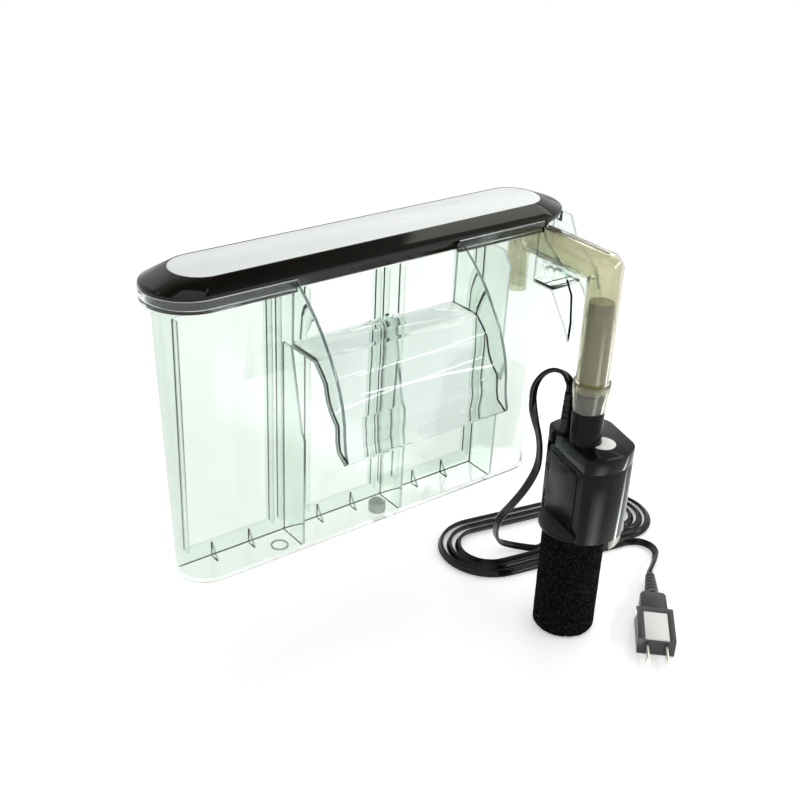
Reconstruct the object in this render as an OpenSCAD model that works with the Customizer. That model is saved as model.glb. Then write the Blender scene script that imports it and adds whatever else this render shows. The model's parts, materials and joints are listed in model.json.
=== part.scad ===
// Hang-on-back aquarium filter: clear hanging case, lift-off lid, intake tube,
// submersible pump with foam pre-filter, and a flat mains lead with its plug.
// x runs along the case, +y points away from the tank, z up. The origin is the
// roof of the slot that sits on the tank's rim, at the middle of the case.

/* [Case] */
// Length of the case along its floor
case_len = 263.2; // [256:0.2:270]
// Middle of the case along its length, from the middle of the part
case_x = -4.3; // [-6:0.1:0]
// Depth of the case at its floor
case_depth = 41; // [38:0.2:44]
// Height of the case from its floor to the underside of the rim band
case_h = 172; // [168:0.5:178]
// Wall thickness of the clear mouldings
wall = 2; // [1.6:0.1:2.4]
// Outward growth of each long side over the height
flare_side = 3.3; // [2:0.1:6]
// Outward growth of each end over the height
flare_end = 6; // [4:0.5:10]
// Height of the rim band
rim_h = 7; // [5:0.2:8]
// How far the rim band stands proud of the long walls
rim_out = 3.2; // [2.5:0.1:4]
// How much further it stands proud at the ends
rim_end = 0.8; // [0.2:0.1:2]

/* [Hang] */
// Height of the slot's roof above the underside of the case
crest_h = 138.5; // [134:0.5:142]
// Distance from the middle of the slot to the case wall at the roof
front_y = 11.2; // [10.6:0.2:14]
// Thickness of the ledge and chute
ledge_t = 2.5; // [2:0.1:3]
// Outer width of the spillway over its cheeks
spill_w = 114.3; // [108:0.3:120]
// Middle of the spillway, from the middle of the part
spill_x = -13.95; // [-18:0.05:-8]

/* [Lid] */
// Overhang of the lid past the rim at the ends
lid_over_end = 1; // [0.5:0.1:3]
// Overhang of the lid past the rim at the sides
lid_over_side = 0.3; // [0.1:0.1:2]
// Height of the lid's upright edge
lid_edge = 2; // [1.8:0.1:4]
// Height of the lid's sloping border
lid_slope_h = 6.3; // [5:0.1:8]
// Width of the sloping border at the ends
lid_slope_end = 17.5; // [12:0.5:20]
// Width of the sloping border at the sides
lid_slope_side = 10.3; // [8:0.1:12]

/* [Intake] */
// Position of the intake tube along the case
tube_x = 118.4; // [116:0.2:120]
// Position of the intake tube in front of the slot's middle
tube_y = -36; // [-38:0.5:-35.5]
// Outer diameter of the intake tube
tube_d = 21.5; // [20.8:0.1:22]
// Bore of the intake tube
tube_bore = 17.4; // [17:0.1:17.8]
// Height of the crossing tube's axis above the slot's roof
cross_z = 22.4; // [21:0.1:22.6]
// Length of the drop tube below the slot's roof
drop_len = 50.5; // [46:0.5:52]
// Outer diameter of the extension tube
ext_d = 15.4; // [15:0.1:15.8]
// Bore of the extension tube
ext_bore = 12.4; // [12:0.1:13]
// Radial running clearance of the sliding seal
seal_gap = 0.05; // [0.02:0.01:0.1]

/* [Pump] */
// Radius of the pump housing
pump_r = 29.5; // [29:0.1:30.5]
// Height of the pump housing with its cap
pump_h = 63; // [62:0.5:66]
// Depth of the pump's top below the slot's roof
pump_drop = 94.5; // [93:0.5:96]
// Height of the cap band
cap_h = 10.4; // [10:0.2:12]
// Diameter of the foam pre-filter
sponge_d = 42; // [40:0.5:43]
// Height of the foam pre-filter
sponge_h = 79.5; // [74:0.5:82]
// Radial running clearance of the rotor on its shaft
shaft_gap = 0.05; // [0.02:0.01:0.1]

/* [Cord] */
// Diameter of the lead, as a round equal of its flat section
cord_d = 5.2; // [5:0.1:5.4]
// Spacing of the coil's turns
coil_pitch = 6.5; // [6.4:0.1:7]
// Spacing of the plug's blades
blade_gap = 12.7; // [12.5:0.1:13]

/* [Hidden] */
$fn = 64;

eps = 0.01;
z_base = -crest_h;
z_floor = z_base + wall;
z_rim = z_base + case_h;
z_lid = z_rim + rim_h;
z_table = -pump_drop - pump_h - sponge_h - 0.5;

// plan of the case at any height
function half_depth(z) = case_depth / 2 + flare_side * (z - z_base) / case_h;
function half_len(z) = case_len / 2 + flare_end * (z - z_base) / case_h;
case_y = front_y + half_depth(0);
function wall_y(z) = case_y - half_depth(z);
// half length of the room left at height z by an inset cut, dy off the middle line
function end_room(z, cut, dy) = half_len(z) - half_depth(z)
    + sqrt(pow(half_depth(z) - cut, 2) - dy * dy);
base_fillet = 1.5;
flange_t = 1.5;

// cartridge frame and what stands in front of it
frame_t = 2;
seat_gap = 0.1;
frame_set = 2.8;
frame_front = case_y + frame_set;
window_z0 = z_base + 12.8;
window_z1 = z_rim - 12.5;
frame_top = z_rim - 5;
windows = [[-127, -72.2], [-44.5, 2.6], [22.4, 78.7]];
frame_end = 88.9;
rib_t = 1.6;
rail_depth = 5;
channel_w = 6;
divider_x = [-60.3, 12.2, 86.7];
divider_t = 1.8;
divider_step = z_base + 74.8;
gusset_x = [-110.5, -85.5, -36.5, -11.5, 37.5, 61.5];
gusset_reach = 7;
gusset_rise = 10;

// spillway
cheek_l = spill_x - spill_w / 2;
cheek_r = spill_x + spill_w / 2;
fold_y = -11;
cheek_mid = [[-13, 26], [-22, 12.4], [-25.5, 7.6], [-39.5, -12], [-39.6, -34], [-40.6, -41]];
lip = [-42.4, -46.9];

// intake side
hook_l = tube_x - 13.1;
hook_r = tube_x + 13.2;
trough_y = -5;
finger_w = 9.5;
// (y, z) corners of the hook: crown of its cheeks, front face, finger's tip and its back
hook_crown = [[9, z_lid - 0.5], [3.1, 28.5], [-10, 22]];
hook_face = [[-16.7, 11.1], [-21.8, 2.6]];
hook_tip = [[-23.7, -15.5], [-23.1, -27.8]];
hook_back = [[-18.6, -18.7], [-11.9, -9.9]];

function bez(a, b, c, n) = [for (i = [0:n]) let (t = i / n)
    a * (1 - t) * (1 - t) + b * 2 * t * (1 - t) + c * t * t];
function unit(v) = v / norm(v);
function left_of(p, q) = let (d = unit(q - p)) [-d.y, d.x];
function side_of(pts, i) = unit(left_of(pts[max(i - 1, 0)], pts[max(i, 1)])
    + left_of(pts[min(i, len(pts) - 2)], pts[min(i + 1, len(pts) - 1)]));
function offset_line(pts, t) = [for (i = [0:len(pts) - 1]) pts[i] + t * side_of(pts, i)];
function flip(pts) = [for (i = [len(pts) - 1:-1:0]) pts[i]];

// top face of the ledge and chute, in (y, z), from the fold down to the lip
chute_top = concat(
    bez([fold_y, ledge_t], [-18, -2.5], [-22.4, -8.5], 4),
    bez([-23.6, -13.5], [-25.2, -19.5], [-30, -24.6], 3),
    bez([-33.4, -28], [-34.3, -33], [-34.3, -38], 3),
    [[-35.6, -43], lip]);
chute_under = concat([[fold_y, 0]], [for (i = [1:len(chute_top) - 1])
    chute_top[i] + ledge_t * side_of(chute_top, i)]);

// stadium-shaped plan: half length, half depth
module stadium(hl, hd) {
    translate([case_x, case_y]) {
        square([2 * (hl - hd), 2 * hd], center = true);
        for (s = [-1, 1]) translate([s * (hl - hd), 0]) circle(hd);
    }
}

// drafted, round-bottomed solid of the case, inset all round
module case_solid(inset, top) {
    hull() {
        for (a = [0:30:90]) let (cut = inset + base_fillet * (1 - sin(a)),
                z = z_base + inset + base_fillet * (1 - cos(a)))
            translate([0, 0, z]) linear_extrude(eps)
                stadium(half_len(z) - cut, half_depth(z) - cut);
        translate([0, 0, top - eps]) linear_extrude(eps)
            stadium(half_len(top) - inset, half_depth(top) - inset);
    }
}

module rim_solid(inset, z0, z1) {
    translate([0, 0, z0]) linear_extrude(z1 - z0)
        stadium(half_len(z_rim) + rim_out + rim_end - inset, half_depth(z_rim) + rim_out - inset);
}

// slab of a (y, z) outline standing at x
module plate_x(x, t, pts) {
    translate([x, 0, 0]) rotate([90, 0, 90]) linear_extrude(t) polygon(pts);
}

// gaps in the front wall over the spillway ledge and the intake bridge
module wall_gaps(z0) {
    for (g = [[cheek_l + wall, cheek_r - wall], [hook_l + wall, hook_r - wall]])
        translate([g[0], -20, z0]) cube([g[1] - g[0], case_y + 15, 60]);
}

module case_shell() {
    color("honeydew", 0.35) difference() {
        case_solid(0, z_rim);
        case_solid(wall, z_rim + 1);
        wall_gaps(ledge_t);
    }
}

module case_rim() {
    color("honeydew", 0.5) difference() {
        rim_solid(0, z_rim, z_lid);
        rim_solid(wall, z_rim + flange_t, z_lid + 1);
        translate([0, 0, z_rim - 1]) linear_extrude(rim_h)
            stadium(half_len(z_rim) - wall, half_depth(z_rim) - wall);
        wall_gaps(z_rim - 1);
    }
}

module cartridge_frame() {
    back = frame_set + frame_t;
    z1 = z_floor + base_fillet;
    x0 = case_x - end_room(z_floor, wall + base_fillet, back) + seat_gap;
    x1 = case_x - end_room(z1, wall, back) + seat_gap;
    xt = case_x - end_room(frame_top, wall, back) + seat_gap;
    color("honeydew", 0.5) translate([0, frame_front + frame_t, 0]) rotate([90, 0, 0])
        linear_extrude(frame_t) difference() {
            polygon([[x0, z_floor], [x1, z1], [xt, frame_top], [frame_end, frame_top],
                [frame_end, z_floor]]);
            for (w = windows) translate([w[0], window_z0])
                square([w[1] - w[0], window_z1 - window_z0]);
        }
}

module rail(x) {
    translate([x - rib_t / 2, frame_front - rail_depth, window_z0])
        cube([rib_t, rail_depth, window_z1 - window_z0]);
}

module cartridge_rails() {
    color("honeydew", 0.5) for (i = [0:2]) {
        rail(windows[i][0] - 1.2);
        rail(windows[i][1] + 1.2);
        if (i < 2) rail(windows[i][1] + 1.2 + channel_w);
    }
}

// low weir-side divider: stepped back behind the chute
module low_divider(x) {
    crest = -9.3;
    crest_w = 9;
    color("honeydew", 0.5) plate_x(x - divider_t / 2, divider_t, [
        [wall_y(z_floor) + wall + base_fillet, z_floor],
        [wall_y(z_floor + base_fillet) + wall, z_floor + base_fillet],
        [wall_y(divider_step) + wall, divider_step],
        [wall_y(divider_step) + wall + 3.5, divider_step + 4.5],
        [frame_front - crest_w, crest], [frame_front, crest], [frame_front, z_floor]]);
}

module divider_left() { low_divider(divider_x[0]); }

module divider_middle() { low_divider(divider_x[1]); }

module divider_right() {
    top = z_rim - 11;
    cut = 9;
    color("honeydew", 0.5) plate_x(divider_x[2] - divider_t / 2, divider_t, [
        [wall_y(z_floor) + wall + base_fillet, z_floor],
        [wall_y(z_floor + base_fillet) + wall, z_floor + base_fillet],
        [wall_y(top - cut) + wall, top - cut], [wall_y(top) + wall + 6, top],
        [frame_front, top], [frame_front, z_floor]]);
}

module sill_gussets() {
    color("honeydew", 0.5) for (x = gusset_x) plate_x(x - rib_t / 2, rib_t,
        [[frame_front - gusset_reach, z_floor], [frame_front, z_floor],
        [frame_front, z_floor + gusset_rise]]);
}

boss_r = 5.5;
boss_h = 5.5;
ring_x = -72;
module floor_boss() {
    boss_y = wall_y(z_base) + wall + base_fillet + boss_r + 1.2;
    color("honeydew", 0.6) {
        translate([0, boss_y, z_floor]) difference() {
            union() {
                cylinder(h = boss_h, r = boss_r);
                translate([0, 0, boss_h]) cylinder(h = 1.5, r1 = boss_r, r2 = boss_r - 1.5);
            }
            translate([0, 0, 3]) cylinder(h = boss_h, r = 1.8);
        }
        translate([ring_x, boss_y, z_floor]) difference() {
            cylinder(h = 0.8, r = boss_r);
            translate([0, 0, -1]) cylinder(h = 3, r = boss_r - 1.2);
        }
    }
}

module spillway_ramp() {
    color("honeydew", 0.5) {
        difference() {
            plate_x(cheek_l + wall, spill_w - 2 * wall, concat(
                [[wall_y(ledge_t), ledge_t]], chute_top, flip(chute_under), [[wall_y(0), 0]]));
            // nicked top edge of the step half way down the chute
            for (i = [0:1]) translate([cheek_l + wall + (i + 0.5) * (spill_w - 2 * wall) / 2,
                -20, ledge_t]) cylinder(h = 1, r = 0.5);
        }
        // two low bosses near the back of the ledge
        for (x = [-36, 22]) translate([x, front_y - 4, ledge_t]) cylinder(h = 0.8, r = 1.8);
    }
}

// side plate of the spillway, from the rim down to the lip
module spill_cheek(x) {
    edge_top = z_lid - 0.1;
    edge_y = wall_y(z_rim) - rim_out;
    color("honeydew", 0.5) plate_x(x, wall, concat(
        [[wall_y(0), 0], [wall_y(z_rim), z_rim], [edge_y, z_rim], [edge_y, edge_top]],
        bez([edge_y - 1, edge_top - 1], cheek_mid[0], cheek_mid[1], 4),
        bez(cheek_mid[2], cheek_mid[3], cheek_mid[4], 5),
        [cheek_mid[5], lip], flip(chute_under)));
}

module spillway_left_cheek() { spill_cheek(cheek_l); }

module spillway_right_cheek() { spill_cheek(cheek_r - wall); }

// what the bridge pieces are cut back to, so that they meet the case wall
module bridge_cut() {
    case_solid(0, z_rim);
    rim_solid(0, z_rim, z_lid + 1);
}

module intake_bridge() {
    color("honeydew", 0.5) difference() {
        translate([hook_l + wall, trough_y, 0])
            cube([hook_r - hook_l - 2 * wall, case_y - trough_y, wall]);
        bridge_cut();
    }
}

// side plate of the intake hook: triangular, with its tip below the slot's roof
module hook_cheek(x) {
    color("honeydew", 0.5) difference() {
        plate_x(x, wall, concat([[case_y, 0], [case_y, hook_crown[0].y], hook_crown[0]],
            bez(hook_crown[1], hook_crown[2], hook_face[0], 3),
            [hook_face[1]], hook_tip, hook_back, [[trough_y, 0]]));
        bridge_cut();
    }
}

module hook_left_cheek() { hook_cheek(hook_l); }

module hook_right_cheek() { hook_cheek(hook_r - wall); }

// front plate between the cheeks, running down into a narrow finger with its own rib
module hook_plate() {
    face = hook_face;
    tail = concat([hook_face[1]], hook_tip);
    color("honeydew", 0.5) {
        plate_x(hook_l + wall, hook_r - hook_l - 2 * wall,
            concat(face, flip(offset_line(face, wall))));
        plate_x(hook_l + wall, finger_w - wall, concat(tail, flip(offset_line(tail, wall))));
        plate_x(hook_l + finger_w - wall, wall, concat(offset_line(tail, wall),
            [hook_back[0], [hook_back[0].x - 0.6, 0]]));
    }
}

module tube_saddle() {
    post_w = tube_d + 0.3;
    color("honeydew", 0.5) difference() {
        for (y = [trough_y, 1.5]) translate([tube_x - post_w / 2, y, wall])
            cube([post_w, wall, cross_z - 5 - wall]);
        translate([tube_x, trough_y - 1, cross_z]) rotate([-90, 0, 0])
            cylinder(h = 20, d = tube_d);
    }
}

// crossing tube, its outer corner round and its inner corner sharp, then a narrower
// leg that drops into the rear chamber
leg_d = 14.6;
leg_bore = 11.4;
leg_y = case_y + 6.2;
leg_bottom = -16.5;
module tube_path(d, leg, end) {
    r = d / 2;
    leg_r = leg / 2;
    translate([tube_x, tube_y, -drop_len - end]) cylinder(h = cross_z + drop_len + end, r = r);
    translate([tube_x, tube_y, cross_z]) sphere(r);
    translate([tube_x, tube_y, cross_z]) rotate([-90, 0, 0]) {
        cylinder(h = leg_y - 12 - tube_y, r = r);
        translate([0, 0, leg_y - 12 - tube_y]) cylinder(h = 5, r1 = r, r2 = leg_r);
        cylinder(h = leg_y - tube_y, r = leg_r);
    }
    translate([tube_x, leg_y, cross_z]) sphere(leg_r);
    translate([tube_x, leg_y, leg_bottom - end]) cylinder(h = cross_z - leg_bottom + end, r = leg_r);
}

module intake_tube() {
    color("darkkhaki", 0.6) difference() {
        tube_path(tube_d, leg_d, 0);
        tube_path(tube_bore, leg_bore, 1);
    }
}

// lid: sloping border over an upright edge, a skirt inside the rim, a recess on top
lid_hl = half_len(z_rim) + rim_out + rim_end + lid_over_end;
lid_hd = half_depth(z_rim) + rim_out + lid_over_side;
panel_hl = lid_hl - lid_slope_end;
panel_hd = lid_hd - lid_slope_side;
panel_t = 1.2;
lid_top = z_lid + lid_edge + lid_slope_h;
lid_t = 2;
skirt_gap = 0.4;
skirt_drop = rim_h - flange_t - 0.3;
skirt_hl = half_len(z_rim) + rim_out + rim_end - wall - skirt_gap;
skirt_hd = half_depth(z_rim) + rim_out - wall - skirt_gap;
// arch that clears the crossing tube
arch_rise = 3.6;
arch_gap = 1.75;
module tube_arch() {
    translate([tube_x, -20, cross_z + arch_rise]) rotate([-90, 0, 0])
        cylinder(h = case_y + 20, r = tube_d / 2 + arch_gap);
}

module lid_form(inset, z0, z1, drop) {
    hull() {
        translate([0, 0, z0]) linear_extrude(lid_edge - drop)
            stadium(lid_hl - inset, lid_hd - inset);
        translate([0, 0, z1 - eps]) linear_extrude(eps)
            stadium(panel_hl + 0.8 - inset / 3, panel_hd + 0.8 - inset / 3);
    }
}

module lid_cover() {
    color([0.10, 0.09, 0.08]) difference() {
        union() {
            difference() {
                lid_form(0, z_lid, lid_top, 0);
                lid_form(lid_t, z_lid - eps, lid_top - panel_t - lid_t, 0.6);
            }
            translate([0, 0, z_lid - skirt_drop]) linear_extrude(skirt_drop + lid_edge + 1.3)
                difference() {
                    stadium(skirt_hl, skirt_hd);
                    stadium(skirt_hl - wall, skirt_hd - wall);
                }
        }
        translate([0, 0, lid_top - panel_t]) linear_extrude(5) stadium(panel_hl, panel_hd);
        tube_arch();
    }
}

module lid_panel() {
    color("white") difference() {
        translate([0, 0, lid_top - panel_t]) linear_extrude(panel_t) stadium(panel_hl, panel_hd);
        tube_arch();
    }
}

// pump: a round housing with one flat side, standing on the tube's axis
z_cap = -pump_drop;
z_seam = z_cap - cap_h;
z_pump = z_cap - pump_h;
pump_turn = -15;
pump_c = [4.2, 2];
flat_u = -11.6;
far_u = 29;
corner_r = 4;
far_r = 10;
shell_t = 2;
module at_pump(z) { translate([tube_x, tube_y, z]) rotate([0, 0, pump_turn]) children(); }

function arc(c, r, a0, a1, n) = [for (i = [0:n]) let (a = a0 + (a1 - a0) * i / n)
    c + r * [cos(a), sin(a)]];

// plan of the housing: circle with a flat on either side, its four corners rounded
corner_v = sqrt(pow(pump_r - corner_r, 2) - pow(pump_c.x - flat_u - corner_r, 2));
far_v = sqrt(pow(pump_r - far_r, 2) - pow(far_u - far_r - pump_c.x, 2));
module pump_plan(inset) {
    a = atan2(corner_v, flat_u + corner_r - pump_c.x);
    b = atan2(far_v, far_u - far_r - pump_c.x);
    near = [flat_u + corner_r, corner_v];
    far = [far_u - far_r, far_v];
    step = (180 - a) / 6;
    polygon(concat(arc([far.x, pump_c.y + far.y], far_r - inset, 0, b - b / 6, 5),
        arc(pump_c, pump_r - inset, b, a, 16),
        arc([near.x, pump_c.y + near.y], corner_r - inset, a + step, 180, 5),
        arc([near.x, pump_c.y - near.y], corner_r - inset, 180, 360 - a - step, 5),
        arc(pump_c, pump_r - inset, 360 - a, 360 - b, 16),
        arc([far.x, pump_c.y - far.y], far_r - inset, 360 - b + b / 6, 360, 5)));
}

spigot_d = 20.5;
spigot_h = 22.5;
nipple_d = 16;
nipple_h = 12;
port_d = 12;
module pump_cap() {
    edge_r = 1.6;
    top_t = 2.5;
    color([0.05, 0.05, 0.06]) difference() {
        union() {
            at_pump(z_seam) linear_extrude(cap_h - edge_r) pump_plan(0);
            for (a = [0:30:60]) at_pump(z_cap - edge_r + edge_r * sin(a))
                linear_extrude(edge_r * (sin(a + 30) - sin(a)))
                    pump_plan(edge_r * (1 - cos(a)));
            at_pump(z_cap - 0.5) cylinder(h = spigot_h + 0.5, d = spigot_d);
            at_pump(z_cap + spigot_h) cylinder(h = nipple_h, d = nipple_d);
        }
        at_pump(z_seam - 1) linear_extrude(cap_h - top_t + 1) pump_plan(shell_t);
        at_pump(z_seam) cylinder(h = cap_h + spigot_h + nipple_h + 1, d = port_d);
    }
}

// extension tube: slides in the drop tube, its belled collar pushed on the spigot
collar_z = z_cap + spigot_h;
collar_h = 20;
ext_top = 1.5;
collar_top_d = 24;
module extension_tube() {
    color("tan", 0.9) at_pump(0) difference() {
        union() {
            translate([0, 0, collar_z + 4]) cylinder(h = ext_top - collar_z - 4, d = ext_d);
            translate([0, 0, collar_z]) cylinder(h = collar_h - 3, d1 = spigot_d, d2 = collar_top_d);
            translate([0, 0, collar_z + collar_h - 3]) cylinder(h = 3, d = collar_top_d);
        }
        translate([0, 0, collar_z - 1]) cylinder(h = nipple_h + 1, d = nipple_d);
        translate([0, 0, collar_z]) cylinder(h = 200, d = ext_bore);
        translate([0, 0, collar_z + collar_h - 6]) difference() {
            cylinder(h = 8, d = collar_top_d - 2.4);
            translate([0, 0, -1]) cylinder(h = 10, d = ext_d);
        }
    }
}

module tube_seal() {
    color("black") at_pump(ext_top - 10) difference() {
        cylinder(h = 3, d = tube_bore - 2 * seal_gap);
        translate([0, 0, -1]) cylinder(h = 5, d = ext_d);
    }
}

// inside the housing, from the bottom: inlet cover, impeller chamber, sealed rotor well
// with the stator round it, and a channel that takes the water up to the cap
chamber_r = 8.6;
z_cover = z_pump + 2;
z_roof = z_cover + 8.5;
roof_t = 2;
well_r = 6.5;
well_t = 1;
well_h = 30;
foot_r = 24;
foot_h = 3;
channel_at = [-1, -18.5];
channel_r = 3.5;
module chamber_plan(grow) {
    circle(chamber_r + grow);
    translate(channel_at) circle(channel_r + grow);
    translate([channel_at.x - channel_r - grow + 0.3, channel_at.y])
        square([2 * (channel_r + grow - 0.3), -channel_at.y]);
}

module pump_body() {
    deck_t = 2;
    color([0.05, 0.05, 0.06]) {
        difference() {
            union() {
                at_pump(z_pump) linear_extrude(pump_h - cap_h) pump_plan(0);
                at_pump(z_pump) cylinder(h = foot_h, r = foot_r);
            }
            at_pump(z_pump - 1) linear_extrude(pump_h - cap_h - deck_t + 1) pump_plan(shell_t);
            at_pump(z_seam - 5) translate(channel_at) cylinder(h = 9, r = channel_r);
        }
        // chamber wall and roof, the well above it and the channel up to the deck
        at_pump(z_cover) linear_extrude(z_roof - z_cover) difference() {
            chamber_plan(1.4);
            chamber_plan(0);
        }
        at_pump(z_roof) linear_extrude(roof_t) difference() {
            chamber_plan(1.4);
            circle(well_r);
            translate(channel_at) circle(channel_r);
        }
        at_pump(z_roof + roof_t) difference() {
            cylinder(h = well_h, r = well_r + well_t);
            translate([0, 0, -1]) cylinder(h = well_h - 1, r = well_r);
        }
        at_pump(z_roof + roof_t) translate(channel_at) difference() {
            cylinder(h = z_seam - deck_t - z_roof - roof_t, r = channel_r + 1.4);
            translate([0, 0, -1]) cylinder(h = 80, r = channel_r);
        }
    }
}

plate_w = 34;
plate_h = 42;
plate_t = 0.6;
module rating_plate() {
    color([0.16, 0.13, 0.11]) at_pump(z_pump + foot_h + 2)
        translate([flat_u - plate_t, pump_c.y - plate_w / 2, 0]) cube([plate_t, plate_w, plate_h]);
}

disc_at = [6.6, -9.8];
disc_d = 16;
module cap_disc() {
    color("white") translate([tube_x, tube_y, z_cap]) difference() {
        translate(disc_at) cylinder(h = 0.5, d = disc_d);
        translate([0, 0, -1]) cylinder(h = 3, d = spigot_d + 0.8);
    }
}

// tapered entry boot of the lead, with shallow grooves
boot_at = [-2.4, 15.5];
boot_h = 28;
module cord_boot() {
    color([0.06, 0.06, 0.06]) translate([tube_x + boot_at.x, tube_y + boot_at.y, z_cap])
        difference() {
            cylinder(h = boot_h, d1 = 8.6, d2 = cord_d + 1);
            for (i = [0:3]) translate([0, 0, 11 + 4 * i]) difference() {
                cylinder(h = 1.4, d = 12);
                translate([0, 0, -1]) cylinder(h = 4, d = cord_d + 0.6);
            }
        }
}

// laminated stator: two poles at the well, joined by a yoke that carries the coil
core_z = z_roof + roof_t + 7;
core_h = 15;
yoke = [14, 22];
core_v = 12.6;
module stator_core() {
    color("silver") at_pump(core_z) linear_extrude(core_h) difference() {
        translate([-5.5, -core_v]) square([yoke[1] + 5.5, 2 * core_v]);
        circle(well_r + well_t + 0.1);
        translate([0, -6.8]) square([yoke[0], 13.6]);
        translate([-10, -4]) square([10, 8]);
    }
}

module stator_coil() {
    over = 4;
    color("sienna") at_pump(core_z) difference() {
        translate([yoke[0] - over, -6.5, -over])
            cube([yoke[1] - yoke[0] + 2 * over, 13, core_h + 2 * over]);
        translate([yoke[0], -10, 0]) cube([yoke[1] - yoke[0], 20, core_h]);
    }
}

// ceramic shaft held at the top of the well, and the rubber seat that takes it
shaft_d = 2.5;
shaft_z = z_cover + 1.5;
seat_z = z_roof + roof_t + well_h - 2 - 3.5;
module impeller_shaft() {
    color("white") at_pump(shaft_z) cylinder(h = seat_z + 2.5 - shaft_z, d = shaft_d);
}

module shaft_seat() {
    color("black") at_pump(seat_z) difference() {
        cylinder(h = 3.5, r = well_r);
        translate([0, 0, -1]) cylinder(h = 3.5, d = shaft_d);
    }
}

magnet_z = z_roof + roof_t + 1;
magnet_h = 20;
module rotor_magnet() {
    color("dimgray") at_pump(magnet_z) difference() {
        cylinder(h = magnet_h, r = well_r - 0.6);
        translate([0, 0, -1]) cylinder(h = magnet_h + 2, d = shaft_d + 2 * shaft_gap);
    }
}

module impeller_wheel() {
    wheel_h = 6;
    z0 = z_cover + 1.5;
    color("white") at_pump(z0) difference() {
        union() {
            cylinder(h = magnet_z - z0, r = 3);
            translate([0, 0, wheel_h - 0.8]) cylinder(h = 1, r = chamber_r - 1);
            for (a = [0:60:300]) rotate(a) translate([2, -0.6, 0])
                cube([chamber_r - 3, 1.2, wheel_h - 0.5]);
        }
        translate([0, 0, -1]) cylinder(h = 30, d = shaft_d + 2 * shaft_gap);
    }
}

eye_r = 5;
strainer_r = 8;
module volute_cover() {
    color([0.05, 0.05, 0.06]) at_pump(z_pump) linear_extrude(z_cover - z_pump) difference() {
        pump_plan(shell_t);
        circle(eye_r);
    }
}

// slotted inlet pipe inside the foam
strainer_h = 55;
module strainer() {
    color([0.08, 0.08, 0.08]) at_pump(z_pump - strainer_h) difference() {
        cylinder(h = strainer_h, r = strainer_r);
        translate([0, 0, wall]) cylinder(h = strainer_h, r = strainer_r - 1.6);
        for (z = [6:8:46], a = [0:60:120]) rotate(a) translate([-10, -3, z]) cube([20, 6, 3]);
    }
}

// short open collar under the round side of the housing, beside the top of the foam
shroud_h = 7.5;
shroud_t = 1.6;
shroud_u = 12;
module sponge_collar() {
    color("lightgray", 0.7) at_pump(z_pump - shroud_h) intersection() {
        linear_extrude(shroud_h) difference() {
            pump_plan(1.2);
            pump_plan(1.2 + shroud_t);
        }
        translate([shroud_u, -2 * pump_r, -1]) cube([2 * pump_r, 4 * pump_r, shroud_h + 2]);
    }
}

module sponge() {
    edge_r = 3;
    color([0.07, 0.07, 0.06]) at_pump(z_pump - sponge_h) difference() {
        union() {
            translate([0, 0, edge_r]) cylinder(h = sponge_h - edge_r, d = sponge_d);
            translate([0, 0, edge_r]) rotate_extrude() {
                square([sponge_d / 2 - edge_r, edge_r + 1]);
                translate([0, -edge_r]) square([sponge_d / 2 - edge_r, edge_r + 1]);
                intersection() {
                    translate([sponge_d / 2 - edge_r, 0]) circle(edge_r);
                    translate([0, -edge_r]) square([sponge_d, edge_r + 1]);
                }
            }
        }
        translate([0, 0, sponge_h - strainer_h - 0.5]) cylinder(h = 90, r = strainer_r + 0.3);
    }
}

// mains lead: boot -> riser down behind the pump -> flat coil on the table -> plug
z_cord = z_table + cord_d / 2 + 0.05;
boot_top = [tube_x + boot_at.x, tube_y + boot_at.y, z_cap + boot_h];
coil_c = [183.7, 48.8];
coil_turn = -11;
coil_half = 54;
coil_r = 16.5;
side_part = 0.2;
coil_t0 = 0.08;
coil_t1 = 3.165;

// point of the coil after t turns: straight sides, round ends, radius growing steadily
function oval(s, r) = s < side_part ? [coil_half * (2 * s / side_part - 1), -r]
    : s < 0.5 ? let (a = -90 + 180 * (s - side_part) / (0.5 - side_part))
        [coil_half + r * cos(a), r * sin(a)]
    : -oval(s - 0.5, r);
function coil_pt(t) = let (p = oval(t - floor(t), coil_r + coil_pitch * t))
    [coil_c.x + p.x * cos(coil_turn) - p.y * sin(coil_turn),
    coil_c.y + p.x * sin(coil_turn) + p.y * cos(coil_turn), z_cord];
coil_n = 74;
coil_pts = [for (i = [0:coil_n]) coil_pt(coil_t0 + (coil_t1 - coil_t0) * i / coil_n)];
coil_in = unit(coil_pts[1] - coil_pts[0]);
coil_out = unit(coil_pts[coil_n] - coil_pts[coil_n - 1]);

riser_mid = [[113.6, -20, -56], [109, -19, -51], [102.5, -17, -48.4], [96.8, -14, -51.5],
    [94.5, -10.5, -61], [96.5, -8.5, -75], [102, -6.5, -89], [108.5, -4.5, -103],
    [113.4, -2, -117], [116, 1, -131], [116, 5.5, -144], [115, 12, -158],
    [114.5, 21, -173], [117, 33, -190], [123, 43, -208], [131, 49, -223], [141, 50, -232]];
lead_mid = [[222, 3.5], [230, -1.5], [233, -9.5], [230, -18], [222, -25], [213, -31]];

plug_at = [200.5, -40];
plug_dir = -134;
z_plug = z_table + 6.6;
plug_axis = [cos(plug_dir), sin(plug_dir), 0];
lead_z = [0, 0, 0.3, 1, 2.2, 3.5];

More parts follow.
